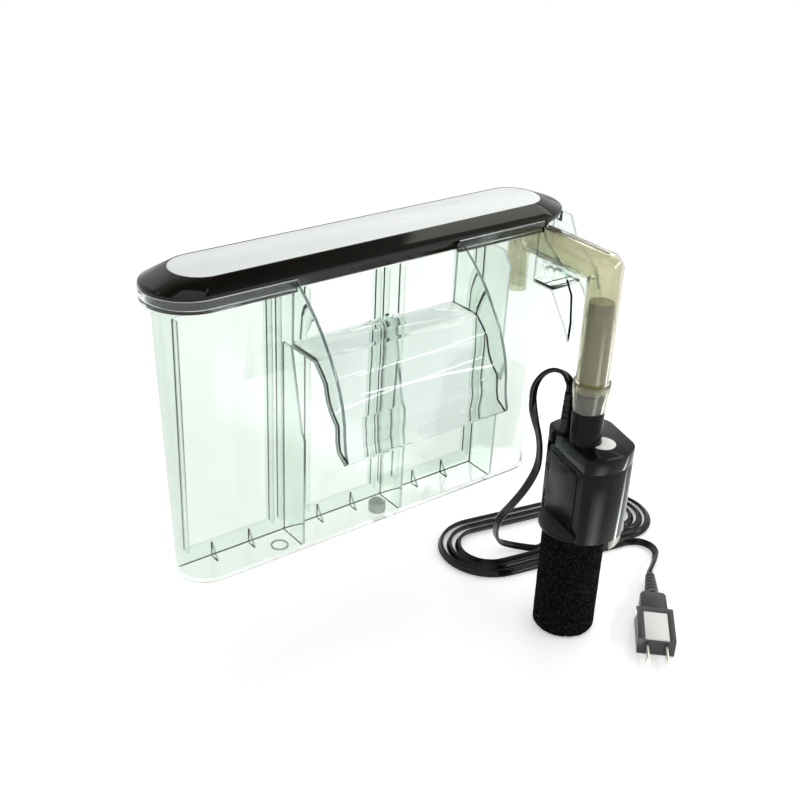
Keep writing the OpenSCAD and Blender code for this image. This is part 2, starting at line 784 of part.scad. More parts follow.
// smooth run through hand-set points
function spline(p, k) = [for (i = [0:len(p) - 2], j = [0:k - 1]) let (t = j / k,
    a = p[max(i - 1, 0)], b = p[i], c = p[i + 1], d = p[min(i + 2, len(p) - 1)])
    0.5 * (2 * b + (c - a) * t + (2 * a - 5 * b + 4 * c - d) * t * t
    + (3 * b - a - 3 * c + d) * t * t * t)];
function dir_at(p, i, d0, d1) = i == 0 ? d0 : i == len(p) - 1 ? d1 : unit(p[i + 1] - p[i - 1]);
function sides(p, d0, d1, i, s, out) = i == len(p) ? out :
    let (d = dir_at(p, i, d0, d1), n = unit(s - d * (s * d)))
    sides(p, d0, d1, i + 1, n, concat(out, [[d, n]]));

// tube of n sides swept through the points, its ends square to d0 and d1
module tube_run(p, d0, d1, n, ref) {
    f = sides(p, d0, d1, 0, ref, []);
    ring = [for (i = [0:len(p) - 1], k = [0:n - 1]) let (a = 360 * k / n)
        p[i] + cord_d / 2 * (cos(a) * f[i][1] + sin(a) * cross(f[i][0], f[i][1]))];
    walls = [for (i = [0:len(p) - 2], k = [0:n - 1], h = [0, 1])
        let (a = i * n + k, b = i * n + (k + 1) % n) h == 0 ? [a, a + n, b] : [b, a + n, b + n]];
    ends = [[for (k = [0:n - 1]) k], [for (k = [n - 1:-1:0]) (len(p) - 1) * n + k]];
    polyhedron(ring, concat(walls, ends), convexity = 10);
}

riser_pts = concat([boot_top], spline(concat([boot_top + [0, 0, cord_d]], riser_mid,
    [coil_pts[0] - 2.4 * cord_d * coil_in, coil_pts[0] - cord_d * coil_in]), 2),
    [coil_pts[0] - cord_d * coil_in, coil_pts[0]]);
lead_pts = concat([coil_pts[coil_n]], spline(concat([coil_pts[coil_n] + cord_d * coil_out],
    [for (i = [0:len(lead_mid) - 1]) [lead_mid[i].x, lead_mid[i].y, z_cord + lead_z[i]]],
    [[plug_at.x, plug_at.y, z_plug] - cord_d * plug_axis]), 2),
    [[plug_at.x, plug_at.y, z_plug] - cord_d * plug_axis, [plug_at.x, plug_at.y, z_plug]]);
riser_ref = [1, 0, 0];

module cord_riser() { color([0.05, 0.05, 0.05]) tube_run(riser_pts, [0, 0, 1], coil_in, 8, riser_ref); }

module cord_coil() { color([0.05, 0.05, 0.05]) tube_run(coil_pts, coil_in, coil_out, 6, [0, 0, 1]); }

module cord_lead() { color([0.05, 0.05, 0.05]) tube_run(lead_pts, coil_out, plug_axis, 8, [0, 0, 1]); }

// smallest gap of the coil to itself, and the lengths of the three runs
coil_gap = min([for (i = [0:coil_n - 12], j = [i + 12:coil_n]) norm(coil_pts[i] - coil_pts[j])]) - cord_d;
function run_len(p, i = 0) = i >= len(p) - 1 ? 0 : norm(p[i + 1] - p[i]) + run_len(p, i + 1);
echo(coil_gap = coil_gap, riser = run_len(riser_pts), coil = run_len(coil_pts),
    lead = run_len(lead_pts), riser_rings = len(riser_pts), lead_rings = len(lead_pts));

// plug, lying flat with its axis along the table
relief_len = 26;
body_len = 20;
head_len = 35;
head_w = 25;
head_t = 13;
blade_len = 17;
module at_plug(s) { translate([plug_at.x, plug_at.y, z_plug]) rotate([0, 0, plug_dir])
    translate([s, 0, 0]) children(); }

module plug_strain_relief() {
    color([0.25, 0.27, 0.27]) at_plug(0) rotate([0, 90, 0]) difference() {
        cylinder(h = relief_len, d1 = cord_d + 1.4, d2 = 11);
        for (i = [0:4]) translate([0, 0, 3.5 + 4.2 * i]) difference() {
            cylinder(h = 1.6, d = 20);
            translate([0, 0, -1]) cylinder(h = 4, d = cord_d + 1 + 0.7 * i);
        }
    }
}

module plug_body() {
    color([0.2, 0.21, 0.21]) at_plug(relief_len) linear_extrude(11, center = true)
        polygon([[0, -7.5], [3, -9], [body_len, -9.5], [body_len, 9.5], [3, 9], [0, 7.5]]);
}

module plug_head() {
    color([0.2, 0.21, 0.21]) at_plug(relief_len + body_len) difference() {
        translate([0, -head_w / 2, -head_t / 2]) cube([head_len, head_w, head_t]);
        translate([6, -8, head_t / 2 - 1]) cube([40, 16, 5]);
        for (s = [-1, 1]) translate([head_len - 12, s * blade_gap / 2 - 0.75, -3.2])
            cube([13, 1.5, 6.4]);
    }
}

module plug_label() {
    color("white") at_plug(relief_len + body_len + 6) translate([0, -8, head_t / 2 - 1])
        cube([head_len - 6, 16, 1.2]);
}

module plug_blades() {
    color("silver") at_plug(relief_len + body_len + head_len - 12) for (s = [-1, 1])
        difference() {
            translate([0, s * blade_gap / 2 - 0.75, -3.2]) cube([12 + blade_len, 1.5, 6.4]);
            translate([12 + blade_len - 4, 0, 0]) rotate([90, 0, 0])
                cylinder(h = 40, d = 2.4, center = true);
        }
}

case_shell();
case_rim();
cartridge_frame();
cartridge_rails();
divider_left();
divider_middle();
divider_right();
sill_gussets();
floor_boss();
spillway_ramp();
spillway_left_cheek();
spillway_right_cheek();
intake_bridge();
hook_left_cheek();
hook_right_cheek();
hook_plate();
tube_saddle();
intake_tube();
lid_cover();
lid_panel();
extension_tube();
tube_seal();
pump_cap();
pump_body();
rating_plate();
cap_disc();
cord_boot();
stator_core();
stator_coil();
impeller_shaft();
shaft_seat();
rotor_magnet();
impeller_wheel();
volute_cover();
strainer();
sponge_collar();
sponge();
cord_riser();
cord_coil();
cord_lead();
plug_strain_relief();
plug_body();
plug_head();
plug_label();
plug_blades();
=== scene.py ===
"""Looks of the hang-on-back aquarium filter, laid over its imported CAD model.

Everything is in metres, in the model's own frame: x along the case, +y away from the tank, z up,
origin at the roof of the slot that sits on the tank's rim.
"""
import json
import math

import bmesh
import bpy
from mathutils import Matrix, Vector, noise

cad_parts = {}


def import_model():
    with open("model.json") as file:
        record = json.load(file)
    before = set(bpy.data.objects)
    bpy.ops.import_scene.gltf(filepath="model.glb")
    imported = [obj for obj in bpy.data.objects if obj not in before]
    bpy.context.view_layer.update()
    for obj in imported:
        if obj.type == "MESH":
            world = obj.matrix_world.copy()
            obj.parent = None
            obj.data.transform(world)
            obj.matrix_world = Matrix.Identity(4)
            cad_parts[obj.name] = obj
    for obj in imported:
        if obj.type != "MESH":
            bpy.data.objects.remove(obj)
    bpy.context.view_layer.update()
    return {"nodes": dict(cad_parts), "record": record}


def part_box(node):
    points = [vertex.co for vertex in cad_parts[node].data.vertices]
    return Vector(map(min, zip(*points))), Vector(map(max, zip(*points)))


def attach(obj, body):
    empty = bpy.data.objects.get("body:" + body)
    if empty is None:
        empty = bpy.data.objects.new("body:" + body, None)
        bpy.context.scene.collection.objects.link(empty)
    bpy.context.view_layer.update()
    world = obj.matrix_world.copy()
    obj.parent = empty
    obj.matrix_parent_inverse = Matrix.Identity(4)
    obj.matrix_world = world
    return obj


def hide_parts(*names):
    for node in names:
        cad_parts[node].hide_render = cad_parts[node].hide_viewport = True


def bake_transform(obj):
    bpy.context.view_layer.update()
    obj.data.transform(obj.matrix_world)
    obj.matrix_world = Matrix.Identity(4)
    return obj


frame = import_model()
MM = 0.001
X, Y, Z = 0, 1, 2
SLOT_OF = {s["node"]: s["material_slot"] for s in frame["record"]["subparts"]}
BODY_OF = {n: b for b, nodes in frame["record"]["behaviour"]["bodies"].items() for n in nodes}

# ---------------------------------------------------------------- camera
CAMERA_AT = (-0.3924, -0.4986, 0.2892)
CAMERA_HEADING = 37.94  # degrees from +y towards +x
CAMERA_PITCH = -27.97
CAMERA_ROLL = 2.48
PHOTO_PX = 800
FOCAL_PX = 1227.3
SENSOR_MM = 36


def place(name, data):
    """An object that shows this mesh, light or camera, linked to the scene."""
    obj = bpy.data.objects.new(name, data)
    bpy.context.scene.collection.objects.link(obj)
    return obj


def add_camera():
    h, p, r = (math.radians(a) for a in (CAMERA_HEADING, CAMERA_PITCH, CAMERA_ROLL))
    ahead = Vector((math.sin(h) * math.cos(p), math.cos(h) * math.cos(p), math.sin(p)))
    level = ahead.cross(Vector((0, 0, 1))).normalized()
    rise = level.cross(ahead)
    right = level * math.cos(r) + rise * math.sin(r)
    up = rise * math.cos(r) - level * math.sin(r)
    data = bpy.data.cameras.new("camera")
    data.sensor_width = SENSOR_MM
    data.lens = FOCAL_PX / PHOTO_PX * SENSOR_MM
    camera = place("camera", data)
    camera.matrix_world = Matrix.Translation(CAMERA_AT) @ Matrix(
        (right, up, -ahead)).transposed().to_4x4()
    bpy.context.scene.camera = camera


add_camera()

# ---------------------------------------------------------------- materials
# Scales of the noise are in cells per metre, and roughness varies by a share each way.
TONE_CELLS, GLOSS_CELLS = 35, 90
GLOSS_LESS, GLOSS_MORE = 0.8, 1.25
SKIN_DEPTH = 0.2 * MM
WAVE_DEPTH = 2 * MM
COIL_RINGS = 650
FOAM_CELLS = 520


def tree_of(name):
    mat = bpy.data.materials.new(name)
    mat.use_nodes = True
    tree = mat.node_tree
    return mat, tree, tree.nodes["Principled BSDF"]


def link(tree, a, b):
    tree.links.new(a, b)


def sockets(shader, **values):
    """Set a shader's own sockets, named with _ for each blank."""
    for key, value in values.items():
        shader.inputs[key.replace("_", " ")].default_value = value


def coords(tree):
    return tree.nodes.new("ShaderNodeTexCoord").outputs["Object"]


def split(tree, vector):
    """The x, y and z of a vector."""
    n = tree.nodes.new("ShaderNodeSeparateXYZ")
    link(tree, vector, n.inputs["Vector"])
    return n.outputs


def maths(tree, operation, a, b):
    n = tree.nodes.new("ShaderNodeMath")
    n.operation = operation
    link(tree, a, n.inputs[0])
    link(tree, b, n.inputs[1])
    return n.outputs[0]


def noise_node(tree, scale, detail=3.0, rough=0.5, stretch=None):
    n = tree.nodes.new("ShaderNodeTexNoise")
    sockets(n, Scale=scale, Detail=detail, Roughness=rough)
    where = coords(tree)
    if stretch:
        m = tree.nodes.new("ShaderNodeMapping")
        sockets(m, Scale=stretch)
        link(tree, where, m.inputs["Vector"])
        where = m.outputs["Vector"]
    link(tree, where, n.inputs["Vector"])
    return n.outputs["Fac"]


def ramp(tree, fac, stops):
    """Colour of a value between 0 and 1, by stops of (position, colour)."""
    n = tree.nodes.new("ShaderNodeValToRGB")
    el = n.color_ramp.elements
    el[0].position, el[0].color = stops[0][0], (*stops[0][1], 1)
    el[1].position, el[1].color = stops[-1][0], (*stops[-1][1], 1)
    for pos, col in stops[1:-1]:
        el.new(pos).color = (*col, 1)
    link(tree, fac, n.inputs["Fac"])
    return n.outputs["Color"]


def tones(tree, bsdf, fac, dark, light, low_in=0.3, high_in=0.7):
    """Base colour that runs from dark to light with a value."""
    link(tree, ramp(tree, fac, [(low_in, dark), (high_in, light)]), bsdf.inputs["Base Color"])


def span(tree, fac, low, high, low_in=0.3, high_in=0.7):
    """A value from low_in to high_in, taken to low to high and held there beyond."""
    n = tree.nodes.new("ShaderNodeMapRange")
    n.inputs["From Min"].default_value, n.inputs["From Max"].default_value = low_in, high_in
    n.inputs["To Min"].default_value, n.inputs["To Max"].default_value = low, high
    link(tree, fac, n.inputs["Value"])
    return n.outputs["Result"]


def bump(tree, shader, height, strength, distance):
    n = tree.nodes.new("ShaderNodeBump")
    sockets(n, Strength=strength, Distance=distance)
    link(tree, height, n.inputs["Height"])
    link(tree, n.outputs["Normal"], shader.inputs["Normal"])


def moulded(name, dark, light, rough, grain=900, lift=0.05, **values):
    """Opaque moulded plastic or rubber: two close tones, uneven gloss and a fine skin."""
    mat, tree, bsdf = tree_of(name)
    tones(tree, bsdf, noise_node(tree, TONE_CELLS, 4), dark, light)
    link(tree, span(tree, noise_node(tree, GLOSS_CELLS, 3), rough * GLOSS_LESS, rough * GLOSS_MORE),
         bsdf.inputs["Roughness"])
    bump(tree, bsdf, noise_node(tree, grain, 2), lift, SKIN_DEPTH)
    sockets(bsdf, **values)
    return mat


def clear(name, tint, rough=0.02, wave=0.04, ior=1.49, through=1.0, coat=0.0):
    """Clear moulded plastic: faint tint, slow waviness and fine flow lines."""
    mat, tree, bsdf = tree_of(name)
    deep = tuple(c * 0.97 for c in tint)
    tones(tree, bsdf, noise_node(tree, 14, 2), deep, tint, 0.35, 0.65)
    sockets(bsdf, Transmission_Weight=through, Coat_Weight=coat, Roughness=rough, IOR=ior)
    bump(tree, bsdf, noise_node(tree, 30, 2, 0.4, (1, 1, 0.35)), wave, WAVE_DEPTH)
    return mat


def foam_finish():
    """Open-cell foam: painted shade darkens the pits between paler cell walls."""
    mat, tree, bsdf = tree_of("foam")
    cells = tree.nodes.new("ShaderNodeTexVoronoi")
    sockets(cells, Scale=FOAM_CELLS)
    link(tree, coords(tree), cells.inputs["Vector"])
    # painted shade: near black at each cell's middle, paler towards its walls
    link(tree, ramp(tree, cells.outputs["Distance"], [
        (0.0, (0.0012, 0.0012, 0.0011)), (0.5, (0.004, 0.004, 0.004)),
        (0.9, (0.018, 0.019, 0.015))]), bsdf.inputs["Base Color"])
    sockets(bsdf, Roughness=0.8, Specular_IOR_Level=0.05)
    bump(tree, bsdf, cells.outputs["Distance"], 0.8, 0.8 * MM)
    return mat


def film_finish():
    """Dark bare film with a fine horizontal grain."""
    mat, tree, bsdf = tree_of("plate_film")
    tones(tree, bsdf, noise_node(tree, 160, 4, 0.6), (0.005, 0.004, 0.004), (0.012, 0.010, 0.008))
    sockets(bsdf, Specular_IOR_Level=0.16)
    link(tree, span(tree, noise_node(tree, 60, 3), 0.22, 0.4), bsdf.inputs["Roughness"])
    bump(tree, bsdf, noise_node(tree, 700, 2), 0.08, SKIN_DEPTH)
    return mat


def winding_finish():
    """Enamelled copper wire: fine rings along the coil."""
    mat, tree, bsdf = tree_of("coil_copper")
    wave = tree.nodes.new("ShaderNodeTexWave")
    sockets(wave, Scale=COIL_RINGS)
    wave.bands_direction = "Z"
    link(tree, coords(tree), wave.inputs["Vector"])
    tones(tree, bsdf, wave.outputs["Fac"], (0.18, 0.06, 0.02), (0.55, 0.24, 0.09), 0.2, 0.8)
    sockets(bsdf, Metallic=0.8, Roughness=0.35)
    bump(tree, bsdf, wave.outputs["Fac"], 0.5, 0.3 * MM)
    return mat


def metal(name, dark, light, rough):
    """Brushed metal, its brushing drawn out along z."""
    mat, tree, bsdf = tree_of(name)
    brushed = noise_node(tree, 60, 3, 0.6, (1, 1, 30))
    tones(tree, bsdf, brushed, dark, light)
    sockets(bsdf, Metallic=1.0)
    link(tree, span(tree, brushed, rough * 0.7, rough * 1.4), bsdf.inputs["Roughness"])
    bump(tree, bsdf, brushed, 0.06, SKIN_DEPTH)
    return mat


CLEAR = {
    "clear_plastic": dict(tint=(0.885, 0.93, 0.90), wave=0.008, ior=1.04, coat=0.5),
    "clear_chute": dict(tint=(0.86, 0.89, 0.895), wave=0.01, ior=1.08, coat=0.8),
    # painted shade: a darker tint on the clear plates' narrow sides draws the dark lines along
    # their edges
    "clear_edge": dict(tint=(0.36, 0.43, 0.42), rough=0.10, wave=0.01, ior=1.04),
    # painted shade: near-black tint for the spillway cheeks' narrow sides, drawn as dark edge lines
    "clear_dark": dict(tint=(0.07, 0.09, 0.10), rough=0.10, wave=0.01, ior=1.04, coat=1.0),
    # painted shade: a milder tint for the narrow sides of the cartridge frame and rails
    "clear_rib": dict(tint=(0.78, 0.85, 0.82), rough=0.12, wave=0.01, ior=1.04),
    "clear_shell": dict(tint=(0.885, 0.93, 0.90), wave=0.006, ior=1.08, coat=0.8),
    "clear_rim": dict(tint=(0.84, 0.89, 0.88), wave=0.006, ior=1.12, coat=1.0),
    # painted highlight: a pale, half-clear tint on the rim's upward top faces draws a bright line
    # below the lid's edge
    "rim_lip": dict(tint=(0.80, 0.84, 0.86), rough=0.2, wave=0.006, through=0.3, coat=1.0),
    "clear_boss": dict(tint=(0.70, 0.78, 0.74), rough=0.2, wave=0.01, through=0.45, coat=0.5),
    "smoke_tube": dict(tint=(0.78, 0.77, 0.60), rough=0.12, wave=0.02, ior=1.25, through=0.92,
                       coat=0.8),
    "tan_tube": dict(tint=(0.44, 0.40, 0.20), rough=0.2, wave=0.02, ior=1.3, through=0.8),
    "grey_plastic": dict(tint=(0.60, 0.60, 0.55), rough=0.35, wave=0.02),
}
MOULDED = {
    "lid_black": dict(dark=(0.006, 0.005, 0.004), light=(0.010, 0.008, 0.006), rough=0.06,
                      grain=500, lift=0.01, Specular_IOR_Level=0.3),
    "lid_inset": dict(dark=(0.88, 0.92, 0.90), light=(0.91, 0.945, 0.925), rough=0.3,
                      grain=500, lift=0.006, Specular_IOR_Level=0.2),
    "seal_rubber": dict(dark=(0.010, 0.010, 0.010), light=(0.022, 0.022, 0.021), rough=0.55),
    "pump_black": dict(dark=(0.003, 0.003, 0.004), light=(0.006, 0.006, 0.007), rough=0.06,
                       grain=500, lift=0.01, Specular_IOR_Level=0.15),
    # painted light: a rougher finish whose lighter tone, on the pump's upward faces near its foot,
    # stands for the light those faces catch
    "pump_satin": dict(dark=(0.020, 0.022, 0.021), light=(0.032, 0.035, 0.033), rough=0.4,
                       grain=700, lift=0.03),
    "white_film": dict(dark=(0.78, 0.79, 0.76), light=(0.86, 0.87, 0.84), rough=0.35),
    "cord_rubber": dict(dark=(0.005, 0.005, 0.005), light=(0.010, 0.010, 0.009), rough=0.34,
                        Specular_IOR_Level=0.3),
    "cord_pvc": dict(dark=(0.004, 0.005, 0.004), light=(0.009, 0.010, 0.009), rough=0.17,
                     grain=1200, lift=0.04, Specular_IOR_Level=0.25),
    "ceramic": dict(dark=(0.80, 0.80, 0.77), light=(0.88, 0.88, 0.86), rough=0.12),
    "magnet": dict(dark=(0.040, 0.040, 0.044), light=(0.075, 0.075, 0.080), rough=0.4,
                   grain=1500, lift=0.2),
    "impeller_white": dict(dark=(0.74, 0.74, 0.72), light=(0.82, 0.82, 0.80), rough=0.3),
    "plug_grey": dict(dark=(0.030, 0.033, 0.033), light=(0.048, 0.052, 0.052), rough=0.36,
                      grain=1300, lift=0.12),
}
METAL = {
    "core_steel": dict(dark=(0.30, 0.30, 0.31), light=(0.52, 0.52, 0.53), rough=0.35),
    "blade_metal": dict(dark=(0.62, 0.60, 0.54), light=(0.80, 0.78, 0.72), rough=0.22),
}
FINISH = {"plate_film": film_finish(), "coil_copper": winding_finish(), "foam": foam_finish()}
for make, looks in ((clear, CLEAR), (moulded, MOULDED), (metal, METAL)):
    FINISH.update({name: make(name, **look) for name, look in looks.items()})

# ---------------------------------------------------------------- cord
CORD_W = 5.6 * MM
CORD_T = 3.1 * MM
SOLID_D = 5.2 * MM
TABLE_Z = -0.2375
CORD_Z = TABLE_Z + SOLID_D / 2 + 0.05 * MM
BOOT_TOP = Vector((0.1160, -0.0205, -0.0665))
RISER = [(0.1136, -0.0200, -0.0560), (0.1090, -0.0190, -0.0510), (0.1025, -0.0170, -0.0484),
         (0.0968, -0.0140, -0.0515), (0.0945, -0.0105, -0.0610), (0.0965, -0.0085, -0.0750),
         (0.1020, -0.0065, -0.0890), (0.1085, -0.0045, -0.1030), (0.1134, -0.0020, -0.1170),
         (0.1160, 0.0010, -0.1310), (0.1160, 0.0055, -0.1440), (0.1150, 0.0120, -0.1580),
         (0.1145, 0.0210, -0.1730), (0.1170, 0.0330, -0.1900), (0.1230, 0.0430, -0.2080),
         (0.1310, 0.0490, -0.2230), (0.1410, 0.0500, -0.2320)]
LEAD = [(0.2220, 0.0035, 0.0), (0.2300, -0.0015, 0.0), (0.2330, -0.0095, 0.0003),
        (0.2300, -0.0180, 0.0010), (0.2220, -0.0250, 0.0022), (0.2130, -0.0310, 0.0035)]
COIL_C = Vector((0.1837, 0.0488, 0))
COIL_TURN = math.radians(-11)
COIL_HALF = 0.054
COIL_R = 0.0165
COIL_PITCH = 0.0065
COIL_SIDE = 0.2  # share of a turn in each long side
COIL_START, COIL_END = 0.08, 3.165  # in turns
COIL_STEPS = 220
SPLINE_STEPS = 7
PLUG_AT = Vector((0.2005, -0.0400, TABLE_Z + 0.0066))
PLUG_TURN = math.radians(-134)
PLUG_AXIS = Vector((math.cos(PLUG_TURN), math.sin(PLUG_TURN), 0))
SECTION_POINTS = 20
SECTION_POWER = 0.75  # below 1, the flat sides are flatter than an oval's
GROOVE_DEPTH, GROOVE_WIDTH = 0.34, 0.26  # as shares of the lead's thickness and half its width
ROLL_MEAN, ROLL_SWING = math.radians(48), math.radians(16)
ROLL_WAVES = 5.3  # swings over the whole lead
LEVELLING = 0.15  # pull of the wide side towards level, at each step of the path
NEAR_UPRIGHT = 0.25  # sine of the tilt from upright below which there is no such pull


def oval(s, r):
    """Point at share s of one turn of the coil, whose ends have the radius r."""
    if s >= 0.5:
        return -oval(s - 0.5, r)
    if s < COIL_SIDE:
        return Vector((COIL_HALF * (2 * s / COIL_SIDE - 1), -r, 0))
    a = math.radians(-90 + 180 * (s - COIL_SIDE) / (0.5 - COIL_SIDE))
    return Vector((COIL_HALF + r * math.cos(a), r * math.sin(a), 0))


def coil_point(t):
    p = oval(t % 1, COIL_R + COIL_PITCH * t)
    return COIL_C + Matrix.Rotation(COIL_TURN, 3, "Z") @ p + Vector((0, 0, CORD_Z))


def spline(points, steps):
    """Catmull-Rom curve through the points."""
    out = []
    for i in range(len(points) - 1):
        a, b = points[max(i - 1, 0)], points[i]
        c, d = points[i + 1], points[min(i + 2, len(points) - 1)]
        for j in range(steps):
            t = j / steps
            out.append(0.5 * (2 * b + (c - a) * t + (2 * a - 5 * b + 4 * c - d) * t * t
                              + (3 * b - a - 3 * c + d) * t ** 3))
    return out + [points[-1]]


def cord_path():
    """From the boot, up and over, down to the table, round the coil and on to the plug."""
    coil = [coil_point(COIL_START + (COIL_END - COIL_START) * i / COIL_STEPS)
            for i in range(COIL_STEPS + 1)]
    into = (coil[1] - coil[0]).normalized()
    away = (coil[-1] - coil[-2]).normalized()
    riser = [BOOT_TOP, BOOT_TOP + Vector((0, 0, SOLID_D))] + [Vector(p) for p in RISER]
    riser += [coil[0] - 2.4 * SOLID_D * into, coil[0] - SOLID_D * into, coil[0]]
    lead = [coil[-1], coil[-1] + SOLID_D * away]
    lead += [Vector((x, y, CORD_Z + z)) for x, y, z in LEAD]
    lead += [PLUG_AT - SOLID_D * PLUG_AXIS, PLUG_AT]
    return spline(riser, SPLINE_STEPS) + coil[1:-1] + spline(lead, SPLINE_STEPS)


def flat_section():
    """Outline of two cores side by side: wide along u, with a groove between the cores."""
    out = []
    for k in range(SECTION_POINTS):
        a = 2 * math.pi * k / SECTION_POINTS
        u = math.cos(a)
        groove = 1 - GROOVE_DEPTH * math.exp(-(u / GROOVE_WIDTH) ** 2)
        v = math.copysign(abs(math.sin(a)) ** SECTION_POWER, math.sin(a)) * groove
        out.append((CORD_W / 2 * u, CORD_T / 2 * v))
    return out


def mesh_object(name, verts, faces, finish):
    """A smooth new piece with its finish."""
    data = bpy.data.meshes.new(name)
    data.from_pydata([tuple(v) for v in verts], [], faces)
    data.update()
    obj = place(name, data)
    data.materials.append(FINISH[finish])
    data.polygons.foreach_set("use_smooth", [True] * len(data.polygons))
    return obj


def ribbon(name, path, roll, finish):
    """Sweep the flat section along the path, its wide side rolled by roll(share of the way)."""
    section = flat_section()
    n = len(section)
    verts, faces = [], []
    side = Vector((0, 1, 0))
    for i, p in enumerate(path):
        ahead = (path[min(i + 1, len(path) - 1)] - path[max(i - 1, 0)]).normalized()
        side = (side - ahead * side.dot(ahead)).normalized()
        level = Vector((0, 0, 1)).cross(ahead)
        if level.length > NEAR_UPRIGHT:
            side = (side * (1 - LEVELLING) + level.normalized() * LEVELLING).normalized()
            side = (side - ahead * side.dot(ahead)).normalized()
        turned = Matrix.Rotation(roll(i / (len(path) - 1)), 3, ahead) @ side
        other = ahead.cross(turned)
        verts += [p + turned * u + other * v for u, v in section]
        if i:
            a, b = (i - 1) * n, i * n
            faces += [(a + k, a + (k + 1) % n, b + (k + 1) % n, b + k) for k in range(n)]
    faces.append(tuple(range(n - 1, -1, -1)))
    faces.append(tuple((len(path) - 1) * n + k for k in range(n)))
    return mesh_object(name, verts, faces, finish)


def cord_roll(s):
    """The flat lead lies over to one side or the other as it runs."""
    return ROLL_MEAN + ROLL_SWING * math.sin(2 * math.pi * ROLL_WAVES * s)


path = cord_path()
cord = ribbon("mains_lead", path, cord_roll, "cord_pvc")
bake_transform(cord)
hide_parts("cord_riser", "cord_coil", "cord_lead")

# ---------------------------------------------------------------- dressed CAD pieces
RIM_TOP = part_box("case_rim")[1].z
PUMP_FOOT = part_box("pump_body")[0].z
COLLAR_TOP = -0.0519  # the belled collar of the extension tube is paler than the tube
LID_LOW, LID_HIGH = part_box("lid_cover")
LID_EDGE = 2.0 * MM  # height of the lid's upright edge
# The bared lip carries the highlight painted on the rim's top faces.
LID_DRAWN_IN = 1.6 * MM  # how far its shown edge stands back from the solid's: bares the rim's lip
SAME_POINT = 0.002 * MM
FLAT_ANGLE = math.radians(0.4)  # faces this near to one plane are joined
SHARP_ANGLE = math.radians(32)  # edges beyond this are rounded
SHADE_ANGLE = math.radians(40)  # edges beyond this are shaded as edges
BEVEL_SEGMENTS = 2
SIDEWAYS = 0.6  # a clear plate's narrow sides have less than this of their normal along its axis
UPWARDS = 0.5

# The axis that each clear plate is thin along: its narrow sides get the edge finish, a darker tint
# painted as the shade along the plates' edges.
PLATES = {"divider_left": X, "divider_middle": X, "divider_right": X, "sill_gussets": X,
          "cartridge_rails": X, "cartridge_frame": Y, "spillway_left_cheek": X,
          "spillway_right_cheek": X, "hook_left_cheek": X, "hook_right_cheek": X}
# Painted shade on the narrow sides of these plates, in place of the usual edge tint.
PAINTED_EDGE_SHADE = {"cartridge_frame": "clear_rib", "cartridge_rails": "clear_rib",
               "spillway_left_cheek": "clear_dark", "spillway_right_cheek": "clear_dark"}
# Second finish of a node, and the test of a face's normal and height that says where it goes.
SECOND = {
    # painted highlight on the rim's upward-facing top faces
    "case_rim": ("rim_lip", lambda normal, z: normal.z > UPWARDS and z > RIM_TOP - 0.5 * MM),
    # painted light on the pump's upward faces near its foot
    "pump_body": ("pump_satin", lambda normal, z: normal.z > UPWARDS and z < PUMP_FOOT + 6 * MM),
    "extension_tube": ("smoke_tube", lambda normal, z: z < COLLAR_TOP),
}
# Width of the rounding, in mm.
BEVEL = {"lid_cover": 0.35, "lid_panel": 0.25, "pump_cap": 0.4, "pump_body": 0.3, "plug_body": 1.2,
         "plug_head": 1.0, "plug_label": 0.3, "cap_disc": 0.12, "rating_plate": 0.15,
         "case_shell": 0.0, "plug_strain_relief": 0.3}
USUAL_BEVEL = 0.25
# Finishes other than the one that the node's slot names.
VARIANT = {"case_shell": "clear_shell", "case_rim": "clear_rim", "spillway_ramp": "clear_chute",
           "tube_seal": "smoke_tube", "floor_boss": "clear_boss"}


def draw_in_lid_edge(bm):
    """Pull the lid's upright edge in towards the middle line of its rounded plan."""
    middle = (LID_LOW + LID_HIGH) / 2
    radius = (LID_HIGH.y - LID_LOW.y) / 2
    reach = (LID_HIGH.x - LID_LOW.x) / 2 - radius
    for v in bm.verts:
        if not RIM_TOP - 0.1 * MM < v.co.z < RIM_TOP + LID_EDGE + 0.1 * MM:
            continue
        foot = Vector((min(max(v.co.x, middle.x - reach), middle.x + reach), middle.y, v.co.z))
        away = v.co - foot
        if away.length > radius - 0.5 * MM:
            v.co = foot + away * ((away.length - LID_DRAWN_IN) / away.length)


def second_finish(node):
    if node in PLATES:
        axis = PLATES[node]
        return (PAINTED_EDGE_SHADE.get(node, "clear_edge"),
                lambda normal, z: abs(normal[axis]) < SIDEWAYS)
    return SECOND.get(node)


